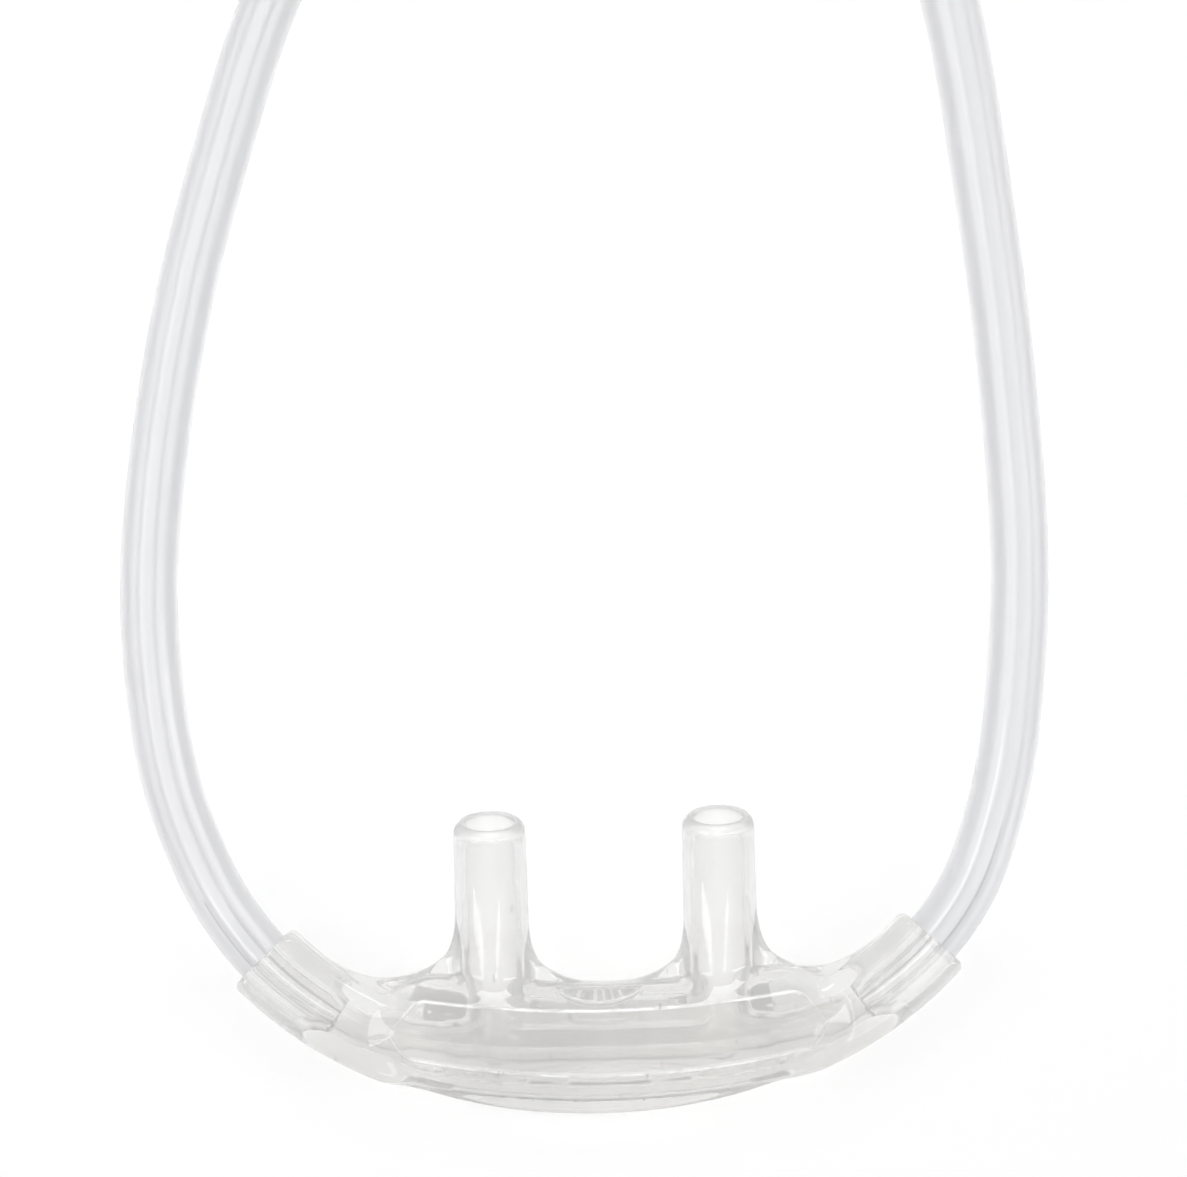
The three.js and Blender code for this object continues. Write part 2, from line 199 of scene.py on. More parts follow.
# Looks: linear colours, and shares of what goes through
VINYL_IOR = 1.5
MIDDLE_WALL = (0.765, 0.76, 0.747)
THICK_WALL_DARK = (0.735, 0.731, 0.724)
THICK_WALL_LIGHT = (0.79, 0.783, 0.766)
THIN_WALL = (0.885, 0.883, 0.879)
# BRIGHT_EDGE is the white of the painted highlight line round the facet; the prong tips are blended part way
# towards it too
BRIGHT_EDGE = (0.95, 0.95, 0.945)
SPECK = (0.3, 0.3, 0.3)
THICK_CLARITY = 0.75
PRONG_CLARITY = 0.09        # what prongs and sleeves add to it
SLEEVE_CLARITY = 0.05
TUBE_WALL = (0.79, 0.792, 0.8)
TUBE_WET_WALL = (0.82, 0.822, 0.83)
TUBE_FROSTED_WALL = (0.795, 0.797, 0.805)
TUBE_HELD_WALL = (0.97, 0.97, 0.97)
# colours of the painted highlight and painted shade lines along the tubes
TUBE_PAINTED_HIGHLIGHT = (0.97, 0.97, 0.975)
TUBE_PAINTED_SHADE = (0.3, 0.3, 0.31)
TUBE_CLARITY = 0.82
FROST_CLARITY = -0.08
TUBE_ROUGHNESS = 0.29
FROST_ROUGHNESS = 0.06
HELD_ROUGHNESS = -0.26
FITTING_WALL = (0.85, 0.865, 0.88)
FLOOR_COLOUR = (0.86, 0.86, 0.86)
FLOOR_HALF = 3.0            # metres
SKY_LOW = (0.8, 0.8, 0.81, 1)
SKY_HIGH = (1.0, 1.0, 1.0, 1)
SKY_STRENGTH = 0.62
BOUNCES = 24

# Lights: name, place and size in metres, radiance
LIGHTS = [
    ("left_box", (-0.45, 0.1, 0.45), (0.25, 0.4), 3.0),
    ("right_box", (0.5, 0.05, 0.4), (0.16, 0.5), 3.4),
    ("back_box", (0.05, 0.5, 0.5), (0.5, 0.2), 4.0),
    ("front_box", (0.0, -0.45, 0.45), (0.4, 0.15), 2.2),
    ("left_strip", (-0.42, -0.12, 0.42), (0.07, 0.32), 3.0),
    ("right_strip", (0.15, -0.1, 0.55), (0.05, 0.26), 2.2),
]

LEFT_ROUTE = [
    (-23.0, 2.6, 2.75), (-24.3, 4.6, 2.6), (-25.8, 7.8, 2.3), (-27.0, 11.2, 2.05), (-28.1, 17.6, 1.905),
    (-28.4, 24.0, 1.905), (-27.9, 30.5, 1.905), (-26.6, 38.7, 1.905), (-24.8, 46.5, 1.905),
    (-22.5, 54.1, 1.905), (-19.5, 62.5, 1.905), (-15.6, 68.9, 1.905), (-10.2, 73.7, 1.905),
    (-4.4, 77.7, 1.905), (0.4, 82.5, 1.905), (3.5, 88.5, 1.905), (4.8, 95.0, 1.905),
    (5.05, 104.0, 1.905), (5.05, 114.0, 1.905), (5.05, 126.0, 1.905),
]
RIGHT_ROUTE = [
    (22.9, 2.45, 2.75), (24.1, 4.4, 2.6), (25.5, 7.9, 2.3), (26.5, 11.5, 2.05), (27.4, 17.3, 1.905),
    (27.9, 24.6, 1.905), (27.7, 32.1, 1.905), (27.0, 41.8, 1.905), (25.9, 51.5, 1.905),
    (24.4, 61.3, 1.905), (21.8, 69.5, 1.905), (18.2, 76.3, 1.905), (14.4, 82.3, 1.905),
    (11.5, 88.6, 1.905), (9.7, 95.0, 1.905), (9.0, 101.5, 1.905), (8.95, 108.0, 1.905),
    (8.95, 117.0, 1.905), (8.95, 126.0, 1.905),
]
LEFT_TAIL = [
    (-37.0, 130.0, 5.65), (-37.0, 121.5, 5.6), (-37.2, 116.0, 4.8), (-37.4, 110.5, 3.92),
    (-37.4, 108.0, 3.9),
]
RIGHT_TAIL = [
    (-33.0, 130.0, 5.65), (-33.0, 121.5, 5.6), (-32.8, 116.0, 4.8), (-32.6, 110.5, 3.92),
    (-32.6, 108.0, 3.9),
]


# Camera
def make_camera():
    data = bpy.data.cameras.new("camera")
    data.sensor_width = SENSOR_WIDTH
    data.lens = SENSOR_WIDTH * (VIEW_HEIGHT - FOCUS_HEIGHT) / VIEW_WIDTH
    data.clip_start = 0.01
    data.clip_end = 20.0
    camera = bpy.data.objects.new("camera", data)
    camera.location = (VIEW_X * MM, VIEW_Y * MM, VIEW_HEIGHT * MM)
    camera.rotation_euler = (0, 0, math.radians(VIEW_TURN))
    bpy.context.scene.collection.objects.link(camera)
    bpy.context.scene.camera = camera


# Lines
def ease(share):
    share = min(max(share, 0.0), 1.0)
    return share * share * (3 - 2 * share)


def ease_array(share):
    share = np.clip(share, 0, 1)
    return share * share * (3 - 2 * share)


def sleeve_point(side, degrees):
    mouth = math.radians(SLEEVE_MOUTH_ANGLE)
    centre_x = SLEEVE_MOUTH[0] - SLEEVE_BEND_RADIUS * math.sin(mouth)
    centre_y = SLEEVE_MOUTH[1] + SLEEVE_BEND_RADIUS * math.cos(mouth)
    angle = math.radians(degrees)
    x = centre_x + SLEEVE_BEND_RADIUS * math.sin(angle)
    y = centre_y - SLEEVE_BEND_RADIUS * math.cos(angle)
    return (side * x, y, MID_HEIGHT)


def sleeve_angle(depth):
    return SLEEVE_MOUTH_ANGLE - math.degrees(depth / SLEEVE_BEND_RADIUS)


def coil_points(side):
    """One and a half turns; the left tube starts inside the right one and ends outside it."""
    rest = TUBE_RADIUS + TUBE_LIFT
    steps = int(COIL_POINTS * COIL_DEGREES / 360)
    points = []
    for i in range(steps + 1):
        turned = COIL_DEGREES * i / steps
        swap = math.pi * ease((turned - SWAP[0]) / (SWAP[1] - SWAP[0]))
        radius = COIL_RADIUS + side * PAIR_PITCH / 2 * math.cos(swap)
        height = rest + PAIR_PITCH * ease((turned - CLIMB[0]) / (CLIMB[1] - CLIMB[0]))
        if side < 0:
            height += PAIR_PITCH * math.sin(swap)
        angle = math.radians(turned)
        points.append((
            COIL_CENTRE[0] + radius * math.cos(angle),
            COIL_CENTRE[1] + radius * math.sin(angle),
            height,
        ))
    return points


def tube_route(side):
    start = sleeve_angle(SOCKET_DEPTH - SEAT_GAP)
    points = [
        sleeve_point(side, start),
        sleeve_point(side, (start + SLEEVE_MOUTH_ANGLE) / 2),
        sleeve_point(side, SLEEVE_MOUTH_ANGLE),
    ]
    points += LEFT_ROUTE if side < 0 else RIGHT_ROUTE
    points += coil_points(side)
    points += LEFT_TAIL if side < 0 else RIGHT_TAIL
    x = TAIL_X + side * TAIL_PITCH / 2
    points.append((x, CONNECTOR_MOUTH_Y, TAIL_HEIGHT))
    points.append((x, CONNECTOR_MOUTH_Y - CONNECTOR_SOCKET_DEPTH + SEAT_GAP, TAIL_HEIGHT))
    return np.array(points)


def spline(points):
    """A natural cubic spline through the points, read closely at its start."""
    chords = np.linalg.norm(np.diff(points, axis=0), axis=1)
    knots = np.concatenate([[0.0], np.cumsum(chords)])
    count = len(points)
    matrix = np.eye(count)
    right = np.zeros((count, 3))
    for i in range(1, count - 1):
        before, after = chords[i - 1], chords[i]
        matrix[i, i - 1:i + 2] = before, 2 * (before + after), after
        right[i] = 6 * ((points[i + 1] - points[i]) / after - (points[i] - points[i - 1]) / before)
    bends = np.linalg.solve(matrix, right)
    reads = np.concatenate([
        np.arange(0, TUBE_SEEN, TUBE_STEP), np.arange(TUBE_SEEN, knots[-1], TUBE_LONG_STEP), [knots[-1]],
    ])
    i = np.clip(np.searchsorted(knots, reads, side="right") - 1, 0, count - 2)
    span = chords[i][:, None]
    ahead = (knots[i + 1] - reads)[:, None]
    behind = (reads - knots[i])[:, None]
    return (
        bends[i] * ahead**3 / (6 * span) + bends[i + 1] * behind**3 / (6 * span)
        + (points[i] / span - bends[i] * span / 6) * ahead
        + (points[i + 1] / span - bends[i + 1] * span / 6) * behind
    )


# Meshes
def make_object(name, points, faces, normals=None):
    mesh = bpy.data.meshes.new(name)
    mesh.from_pydata((np.asarray(points) * MM).tolist(), [], faces)
    mesh.shade_smooth()
    if normals is not None:
        mesh.normals_split_custom_set_from_vertices(normals.tolist())
    mesh.update()
    piece = bpy.data.objects.new(name, mesh)
    bpy.context.scene.collection.objects.link(piece)
    return piece


def mark(piece, name, values):
    """Give each corner of the mesh a value that its material reads."""
    piece.data.attributes.new(name, "FLOAT", "POINT").data.foreach_set("value", values)


def bore_radius(angles, first_rib):
    """Radius of the ribbed bore at each angle."""
    pitch = 2 * math.pi / RIB_COUNT
    off_rib = np.abs((angles - first_rib + pitch / 2) % pitch - pitch / 2)
    rib = np.clip(1 - off_rib / math.radians(RIB_WIDTH), 0, 1)
    return TUBE_BORE / 2 - RIB_HEIGHT * rib * rib * (3 - 2 * rib)


def end_radius(from_end):
    """Outer radius of a tube near its end."""
    return TUBE_RADIUS - (TUBE_RADIUS - END_RADIUS) * ease_array(1 - from_end / END_LENGTH)


def tube(name, line, first_rib):
    """A hollow tube along a line, with flat ends. Its rings stand upright, so that the ribs don't twist."""
    along = np.gradient(line, axis=0)
    along /= np.linalg.norm(along, axis=1, keepdims=True)
    across = np.cross(along, (0.0, 0.0, 1.0))
    across /= np.linalg.norm(across, axis=1, keepdims=True)
    upward = np.cross(across, along)
    angles = np.linspace(0, 2 * math.pi, TUBE_SIDES, endpoint=False)
    turned = across[:, None] * np.cos(angles)[:, None] + upward[:, None] * np.sin(angles)[:, None]
    reached = np.concatenate([[0.0], np.cumsum(np.linalg.norm(np.diff(line, axis=0), axis=1))])
    radii = np.minimum(end_radius(reached), end_radius(reached[-1] - reached))
    outer = line[:, None] + radii[:, None, None] * turned
    inner = line[:, None] + bore_radius(angles, math.radians(first_rib))[:, None] * turned
    rings = len(line)
    shell = rings * TUBE_SIDES
    faces = []
    for ring in range(rings - 1):
        for k in range(TUBE_SIDES):
            a = ring * TUBE_SIDES + k
            b = ring * TUBE_SIDES + (k + 1) % TUBE_SIDES
            faces.append((b, a, a + TUBE_SIDES, b + TUBE_SIDES))
            faces.append((shell + a, shell + b, shell + b + TUBE_SIDES, shell + a + TUBE_SIDES))
    last = shell - TUBE_SIDES
    for k in range(TUBE_SIDES):
        after = (k + 1) % TUBE_SIDES
        faces.append((k, after, shell + after, shell + k))
        faces.append((last + after, last + k, shell + last + k, shell + last + after))
    points = np.concatenate([outer.reshape(-1, 3), inner.reshape(-1, 3)])
    piece = make_object(name, points, faces)
    upright = np.sin(angles)
    spread = np.broadcast_to(np.cos(angles), (rings, TUBE_SIDES)).ravel() * TUBE_RADIUS
    far = np.broadcast_to(reached[:, None], (rings, TUBE_SIDES)).ravel()
    above = np.broadcast_to(upright, (rings, TUBE_SIDES)).ravel()
    mark(piece, "across", np.concatenate([spread, spread]))
    mark(piece, "reached", np.concatenate([far, far]))
    mark(piece, "above", np.concatenate([above, -np.ones(shell)]))
    smooth = [True] * (len(faces) - 2 * TUBE_SIDES) + [False] * 2 * TUBE_SIDES
    piece.data.polygons.foreach_set("use_smooth", smooth)
    return piece


# Fields: distances to a surface, below zero inside. A rounding is the radius of the edge that it leaves
def both(a, b, rounding):
    corner = np.hypot(np.maximum(a + rounding, 0), np.maximum(b + rounding, 0))
    return np.minimum(np.maximum(a, b) + rounding, 0) + corner - rounding


def either(a, b, rounding):
    return -both(-a, -b, rounding)


def without(a, b, rounding):
    return both(a, -b, rounding)


def outline_distance(x, y, points):
    """Signed distance in plan to a closed outline."""
    nearest = np.full(np.broadcast(x, y).shape, np.inf)
    inside = np.zeros(nearest.shape, bool)
    for (ax, ay), (bx, by) in zip(points, np.roll(points, -1, axis=0)):
        ex, ey = bx - ax, by - ay
        px, py = x - ax, y - ay
        share = np.clip((px * ex + py * ey) / (ex * ex + ey * ey), 0, 1)
        nearest = np.minimum(nearest, (px - share * ex) ** 2 + (py - share * ey) ** 2)
        if ey:
            inside ^= ((ay > y) != (by > y)) & (px < ex * py / ey)
    return np.where(inside, -1, 1) * np.sqrt(nearest)


def line_distance(u, v, points):
    """Distance in a plane to a line of points."""
    nearest = np.inf
    for (au, av), (bu, bv) in zip(points[:-1], points[1:]):
        eu, ev = bu - au, bv - av
        share = np.clip(((u - au) * eu + (v - av) * ev) / (eu * eu + ev * ev), 0, 1)
        nearest = np.minimum(nearest, np.hypot(u - au - share * eu, v - av - share * ev))
    return nearest


def curve(start, control, end, count=10):
    """Points of a curve that leaves start towards control and reaches end from there, without its end."""
    t = np.linspace(0, 1, count, endpoint=False)[:, None]
    start, control, end = map(np.array, (start, control, end))
    return (1 - t) ** 2 * start + 2 * t * (1 - t) * control + t * t * end


def flange_outline():
    inner = PRONG_SPACING / 2 - PRONG_DIAMETER / 2
    outer = PRONG_SPACING / 2 + PRONG_DIAMETER / 2
    bottom = (0, FLANGE_BOTTOM_Y)
    septum = (CHAMBER_X, SEPTUM_Y)
    saddle_y = SADDLE[1]
    shoulder_middle = (SHOULDER[0] + SADDLE[0]) / 2
    right_outer = (CHAMBER_X + outer - FILLET_TUCK, FILLET_OUTER_Y)
    right_inner = (CHAMBER_X + inner + FILLET_TUCK, FILLET_INNER_Y)
    left_inner = (CHAMBER_X - inner - FILLET_TUCK, FILLET_INNER_Y)
    left_outer = (CHAMBER_X - outer + FILLET_TUCK, FILLET_OUTER_Y)
    parts = [
        curve((-FLANGE_END[0], FLANGE_END[1]), (-FLANGE_BULGE_X, FLANGE_BOTTOM_Y), bottom, 16),
        curve(bottom, (FLANGE_BULGE_X, FLANGE_BOTTOM_Y), FLANGE_END, 16),
        [FLANGE_END],
        curve(SHOULDER, (shoulder_middle, saddle_y), SADDLE),
        curve(SADDLE, (CHAMBER_X + outer + FILLET_LEAD, saddle_y), right_outer),
        [right_outer],
        curve(right_inner, (CHAMBER_X + inner - FILLET_LEAD, SEPTUM_Y), septum, 14),
        curve(septum, (CHAMBER_X - inner + FILLET_LEAD, SEPTUM_Y), left_inner, 14),
        [left_inner],
        curve(left_outer, (CHAMBER_X - outer - FILLET_LEAD, saddle_y), (-SADDLE[0], saddle_y)),
        curve((-SADDLE[0], saddle_y), (-shoulder_middle, saddle_y), (-SHOULDER[0], SHOULDER[1])),
        [(-SHOULDER[0], SHOULDER[1])],
    ]
    return np.concatenate([np.array(part, float) for part in parts])


def prong_line():
    """The axis of a prong in its own upright plane, and its direction at the tip."""
    length = PRONG_TIP_Y - PRONG_ROOT_Y
    start = (PRONG_ROOT_Y, MID_HEIGHT)
    control = (PRONG_ROOT_Y + PRONG_STRAIGHT * length, MID_HEIGHT)
    tip = (PRONG_TIP_Y, MID_HEIGHT + PRONG_RISE)
    points = np.concatenate([curve(start, control, tip, 16), [tip]])
    direction = np.array(tip) - np.array(control)
    return points, direction / np.linalg.norm(direction)


FLANGE_OUTLINE = flange_outline()
PRONG_LINE, PRONG_DIRECTION = prong_line()


def facet_offset(x, y):
    """Distance in plan from the facet's edge: it sags above, bulges below and has pointed ends."""
    u = x - CHAMBER_X
    share = u / FACET_CORNER[0]
    slope = 2 * FACET_SAG * share / FACET_CORNER[0]
    top = (y - FACET_CORNER[1] + FACET_SAG * (1 - share**2)) / np.hypot(1, slope)
    share = u / FACET_LOW_CORNER[0]
    slope = 2 * FACET_BULGE * share / FACET_LOW_CORNER[0]
    low = (FACET_LOW_CORNER[1] - FACET_BULGE * (1 - share**2) - y) / np.hypot(1, slope)
    ends = []
    for corner, turn in ((FACET_CORNER, 1), (FACET_LOW_CORNER, -1)):
        ex, ey = FACET_HALF_WIDTH - corner[0], FACET_END_Y - corner[1]
        long = math.hypot(ex, ey)
        ends.append(turn * ((y - corner[1]) * ex - (np.abs(u) - corner[0]) * ey) / long)
    rounding = FACET_CORNER_ROUND
    return both(both(top, ends[0], rounding), both(low, ends[1], rounding), rounding)


def block_field(x, y, z):
    plan = facet_offset(x, y)
    upper = (plan + z - BLOCK_HEIGHT) / math.sqrt(2)
    lower = (plan - z) / math.sqrt(2)
    wall = both(both(plan - BLOCK_BEVEL, upper, BLOCK_ROUND), lower, BLOCK_ROUND)
    half = BLOCK_HEIGHT / 2
    return both(wall, np.abs(z - half) - half, BLOCK_TOP_ROUND)


def flange_field(x, y, z):
    plan = outline_distance(x, y, FLANGE_OUTLINE)
    half = FLANGE_THICKNESS / 2
    plate = both(plan, np.abs(z - MID_HEIGHT) - half, FLANGE_ROUND)
    groove = np.hypot(plan + LIP_INSET, z - MID_HEIGHT - half) - LIP_GROOVE
    lip = np.where(y < FACET_LOW_CORNER[1] - LIP_LOW, groove, 1.0)
    return without(plate, lip, LIP_EDGE)


def sleeve_parts(x, y, z, side):
    """Offset from the sleeve's axis in plan and upwards, and how far beyond its mouth and before its root."""
    mouth = math.radians(SLEEVE_MOUTH_ANGLE)
    u = side * x - (SLEEVE_MOUTH[0] - SLEEVE_BEND_RADIUS * math.sin(mouth))
    v = y - (SLEEVE_MOUTH[1] + SLEEVE_BEND_RADIUS * math.cos(mouth))
    flat = np.hypot(u, v) - SLEEVE_BEND_RADIUS
    beyond = []
    for degrees in (SLEEVE_MOUTH_ANGLE, SLEEVE_ROOT_ANGLE, sleeve_angle(SOCKET_DEPTH)):
        angle = math.radians(degrees)
        beyond.append(u * math.cos(angle) + v * math.sin(angle))
    return flat, z - MID_HEIGHT, beyond


def sleeve_field(x, y, z, side):
    flat, up, (beyond, before, _) = sleeve_parts(x, y, z, side)
    fade = SLEEVE_BEND_RADIUS * math.radians(SLEEVE_FADE_ANGLE - SLEEVE_ROOT_ANGLE)
    sunk = SLEEVE_SINK * ease_array(1 - before / fade)
    section = both(np.abs(flat) - SLEEVE_RADIUS, np.abs(up) - SLEEVE_HALF_HEIGHT, SLEEVE_CORNER) + sunk
    sleeve = both(section, beyond, SLEEVE_ROUND)
    return np.maximum(sleeve, -before)


def prong_parts(x, y, z, side):
    across = x - CHAMBER_X - side * PRONG_SPACING / 2
    off_axis = np.hypot(across, line_distance(y, z, PRONG_LINE))
    beyond = (y - PRONG_TIP_Y) * PRONG_DIRECTION[0] + (z - MID_HEIGHT - PRONG_RISE) * PRONG_DIRECTION[1]
    return off_axis, beyond


def prong_field(x, y, z, side):
    off_axis, beyond = prong_parts(x, y, z, side)
    share = np.clip((y - PRONG_ROOT_Y) / (PRONG_TIP_Y - PRONG_ROOT_Y), 0, 1)
    return both(off_axis - PRONG_DIAMETER / 2 + PRONG_TAPER * share, beyond, PRONG_ROUND)


def socket_field(x, y, z):
    """Both sockets, a hair narrower than the tubes bonded in them."""
    nearest = np.inf
    for side in (-1, 1):
        flat, up, (_, _, inside) = sleeve_parts(x, y, z, side)
        socket = both(
            np.hypot(flat, up) - end_radius(inside - SEAT_GAP) + SOCKET_BITE,
            SEAT_GAP + SOCKET_BITE - inside, SOCKET_END_ROUND)
        nearest = np.minimum(nearest, np.where(side * x > 0, socket, 9.0))
    return nearest


def way_field(x, y, z):
    """Gas ways, chamber and prong bores, all joined."""
    narrow = ease_array(2 * np.abs(x - CHAMBER_X) / CHAMBER_HALF[0] - 1)
    wide = CHAMBER_HALF[1] + (LUMEN_RADIUS - CHAMBER_HALF[1]) * narrow
    high = CHAMBER_HALF[2] + (LUMEN_RADIUS - CHAMBER_HALF[2]) * narrow
    oval = np.hypot((y - CHAMBER_Y) / wide, (z - MID_HEIGHT) / high)
    ways = both((oval - 1) * high, np.abs(x - CHAMBER_X) - CHAMBER_HALF[0], CHAMBER_ROUND)
    for side in (-1, 1):
        lumen_line = [
            sleeve_point(side, sleeve_angle(SOCKET_DEPTH - 1))[:2],
            sleeve_point(side, sleeve_angle(SOCKET_DEPTH + 1.5))[:2],
            (CHAMBER_X + side * (CHAMBER_HALF[0] + 1), CHAMBER_Y + 0.2),
            (CHAMBER_X + side * (CHAMBER_HALF[0] - 1), CHAMBER_Y),
        ]
        lumen = np.hypot(line_distance(x, y, lumen_line), z - MID_HEIGHT) - LUMEN_RADIUS
        ways = either(ways, lumen, LUMEN_FILLET)
        across = x - CHAMBER_X - side * PRONG_SPACING / 2
        past_tip = PRONG_LINE[-1] + BORE_BEYOND * PRONG_DIRECTION
        bore_line = np.concatenate([[(CHAMBER_Y, MID_HEIGHT)], PRONG_LINE, [past_tip]])
        bore = np.hypot(across, line_distance(y, z, bore_line)) - PRONG_BORE / 2
        ways = either(ways, bore, BORE_FILLET)
    return ways


def scallop_field(x, y, z):
    u, v = x - SCALLOP_X, y - SCALLOP_LOW_Y - SCALLOP_RADIUS
    rays = RAY_DEPTH * np.cos(SCALLOP_RAYS * np.arctan2(u, -v))
    floor = BLOCK_HEIGHT - SCALLOP_DEPTH + rays
    return both(np.hypot(u, v) - SCALLOP_RADIUS, floor - z, SCALLOP_ROUND)


def facepiece_field(x, y, z):
    field = without(block_field(x, y, z), scallop_field(x, y, z), SCALLOP_EDGE)
    field = either(field, flange_field(x, y, z), FLANGE_FILLET)
    for side in (-1, 1):
        field = either(field, sleeve_field(x, y, z, side), ROOT_FILLET)
        field = either(field, prong_field(x, y, z, side), ROOT_FILLET)
    field = np.maximum(field, -z)
    field = without(field, way_field(x, y, z), RIM_ROUND)
    return without(field, socket_field(x, y, z), SOCKET_EDGE)


def connector_field(x, y, z):
    """Two inlets at y = 0, a web and a stem towards -y."""
    half_pitch = TAIL_PITCH / 2
    half_inlets = half_pitch + INLET_RADIUS
    stem_top = STEM_LENGTH - CONNECTOR_LENGTH
    u = np.abs(x)
    closing = np.clip((-y - INLET_STRAIGHT) / (INLET_LENGTH - 2), 0, 1)
    spread = half_pitch * (1 - INLET_CLOSING * closing)
    inlet = both(np.hypot(u - spread, z) - INLET_RADIUS, np.maximum(y, -y - INLET_LENGTH - 1), INLET_ROUND)
    stem = both(np.hypot(x, z) - STEM_RADIUS, np.maximum(y - stem_top - 1, -y - CONNECTOR_LENGTH), STEM_ROUND)
    taper = ease_array(np.clip(-y / CONNECTOR_LENGTH, 0, 1) * WAIST_TAPER)
    half_width = half_inlets - WAIST - (half_inlets - STEM_RADIUS) * taper
    web = both(u - half_width, np.abs(z) - WEB_HALF_THICKNESS, WEB_ROUND)
    web = both(web, np.maximum(y + WEB_START, stem_top - WEB_OVERLAP - y), WEB_END_ROUND)
    field = either(either(inlet, stem, STEM_FILLET), web, WEB_FILLET)
    from_end, half_ring = STEM_RING
    ring_y = np.abs(y + CONNECTOR_LENGTH - from_end) - half_ring
    ring = both(np.abs(np.hypot(x, z) - STEM_RADIUS), ring_y, STEM_RING_DEPTH)
    field = without(field, ring, 0.05)
    socket = both(np.hypot(u - half_pitch, z) - TUBE_RADIUS + SOCKET_BITE, -y - CONNECTOR_SOCKET_DEPTH, 0.1)
    stem_socket = both(np.hypot(x, z) - STEM_BORE / 2, y + CONNECTOR_LENGTH - STEM_SOCKET_DEPTH, 0.2)
    gas_line = [
        (half_pitch, -CONNECTOR_SOCKET_DEPTH + 1),
        (half_pitch / 3, -CONNECTOR_LENGTH + STEM_SOCKET_DEPTH - 1),
    ]
    gas = np.hypot(line_distance(u, y, gas_line), z) - LUMEN_RADIUS
    ways = np.minimum(np.minimum(socket, stem_socket), gas)
    return without(field, ways, WAY_EDGE)


def slider_field(x, y, z):
    """A flat-sided block with two bores, low grip ribs on its faces; near end at y = 0."""
    straight = SLIDER_HALF_WIDTH - SLIDER_HALF_HEIGHT
    section = np.hypot(np.maximum(np.abs(x) - straight, 0), z) - SLIDER_HALF_HEIGHT
    middle = SLIDER_LENGTH / 2
    off_middle = np.abs(y - middle)
    waves = GRIP_DEPTH * (1 + np.cos(2 * math.pi * (y - middle) / GRIP_PITCH))
    waves = waves * ease_array((middle - GRIP_MARGIN - off_middle) / GRIP_FADE)
    body = both(section + waves, off_middle - middle, SLIDER_ROUND)
    bore = np.hypot(np.abs(x) - TAIL_PITCH / 2, z) - TUBE_RADIUS - SLIDE_CLEARANCE
    return without(body, bore, SLIDER_EDGE)


def gradient(field, points):
    x, y, z = points.T
    h = NORMAL_STEP
    return np.stack([
        field(x + h, y, z) - field(x - h, y, z),
        field(x, y + h, z) - field(x, y - h, z),
        field(x, y, z + h) - field(x, y, z - h),
    ], axis=1) / (2 * h)


def surface_net(field, low, high):
    """Quads of the field's zero surface, with their corners moved onto it and its own normals."""
    axes = [np.arange(a - 1.5 * CELL, b + 2 * CELL, CELL) for a, b in zip(low, high)]
    x, y, z = axes[0][:, None, None], axes[1][None, :, None], axes[2][None, None, :]
    values = field(x, y, z)
    inside = values < 0
    shape = np.array(values.shape) - 1
    total = np.zeros((*shape, 3))
    count = np.zeros(shape)
    for axis in range(3):
        others = [k for k in range(3) if k != axis]
        first = [slice(None)] * 3
        second = [slice(None)] * 3
        first[axis], second[axis] = slice(None, -1), slice(1, None)
        a, b = values[tuple(first)], values[tuple(second)]
        crossed = (a < 0) != (b < 0)
        share = np.where(crossed, a / np.where(crossed, a - b, 1), 0)
        for du in (0, 1):
            for dv in (0, 1):
                window = [slice(None)] * 3
                for k, d in zip(others, (du, dv)):
                    window[k] = slice(d, d + shape[k])
                c, s = crossed[tuple(window)], share[tuple(window)]
                count += c
                total[..., axis] += np.where(c, s, 0)
                total[..., others[0]] += du * c
                total[..., others[1]] += dv * c
    used = count > 0
    index = np.full(shape, -1)
    index[used] = np.arange(used.sum())
    start = np.stack([axes[k][np.argwhere(used)[:, k]] for k in range(3)], axis=1)
    points = start + CELL * total[used] / count[used][:, None]
    faces = []
    for axis in range(3):
        u, v = [(1, 2), (2, 0), (0, 1)][axis]
        first = [slice(1, -1)] * 3
        second = [slice(1, -1)] * 3
        first[axis], second[axis] = slice(None, -1), slice(1, None)
        a, b = inside[tuple(first)], inside[tuple(second)]
        for sign, crossed in ((1, a & ~b), (-1, ~a & b)):
            at = np.argwhere(crossed)
            at[:, u] += 1
            at[:, v] += 1
            corners = []
            for du, dv in ((-1, -1), (0, -1), (0, 0), (-1, 0))[::sign]:
                c = at.copy()
                c[:, u] += du
                c[:, v] += dv
                corners.append(index[tuple(c.T)])
            faces.append(np.stack(corners, axis=1))
    faces = np.concatenate(faces)
    for _ in range(FIT_STEPS):
        slope = gradient(field, points)
        size = np.maximum((slope**2).sum(axis=1), STEEPEST)
        move = field(*points.T)[:, None] * slope / size[:, None]
        length = np.linalg.norm(move, axis=1, keepdims=True)
        points = points - move * np.minimum(1, 0.5 * CELL / np.maximum(length, 1e-9))
    normals = gradient(field, points)
    normals /= np.linalg.norm(normals, axis=1, keepdims=True)
    return points, faces.tolist(), normals


def moulded(name, field, low, high, place=(0, 0, 0)):
    points, faces, normals = surface_net(field, low, high)
    return make_object(name, points + np.array(place), faces, normals)


# Materials
def principled(name, colour, roughness, transmission):
    material = bpy.data.materials.new(name)
    material.use_nodes = True
    shader = material.node_tree.nodes["Principled BSDF"]
    shader.inputs["Base Color"].default_value = (*colour, 1)
    shader.inputs["Roughness"].default_value = roughness
    shader.inputs["IOR"].default_value = VINYL_IOR
    shader.inputs["Transmission Weight"].default_value = transmission
    return material, shader


def add(material, kind, **values):
    node = material.node_tree.nodes.new(kind)
    for key, value in values.items():
        if key in node.inputs:
            node.inputs[key].default_value = value
        else:
            setattr(node, key, value)
    return node


